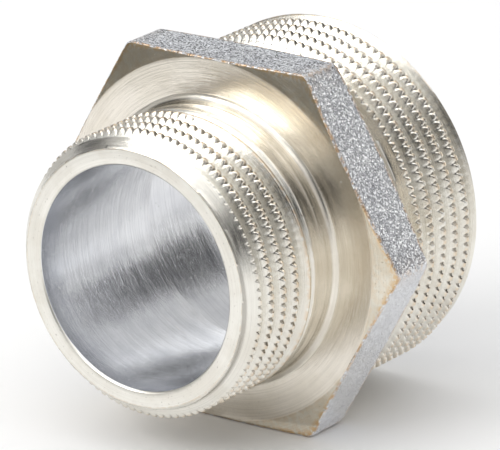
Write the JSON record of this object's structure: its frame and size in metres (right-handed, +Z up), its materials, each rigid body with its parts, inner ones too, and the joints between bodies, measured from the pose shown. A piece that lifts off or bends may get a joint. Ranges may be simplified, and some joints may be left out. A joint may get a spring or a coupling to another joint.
{
  "type": "reducing hex nipple",
  "caption": "Reducing hex nipple with serrated parallel male threads at both ends, turned necks, a chamfered hexagon for a wrench and a stepped flow bore.",
  "frame": {"origin": "on the ground, under the middle of the fitting's length, as it lies on one wrench flat", "axes": "+X along the flow axis towards the large end, -X towards the small end; +Z up, normal to the upper wrench flat"},
  "size_m": [0.0388, 0.0492, 0.0428],
  "materials": {
    "nickel_turned": "nickel plate over turned brass",
    "nickel_satin": "nickel plate over shot-blasted forging"
  },
  "bodies": {
    "root": {"small_end_thread": "nickel_turned", "small_end_neck": "nickel_turned", "hex_body": "nickel_satin", "large_end_neck": "nickel_turned", "large_end_thread": "nickel_turned"}
  },
  "joints": []
}
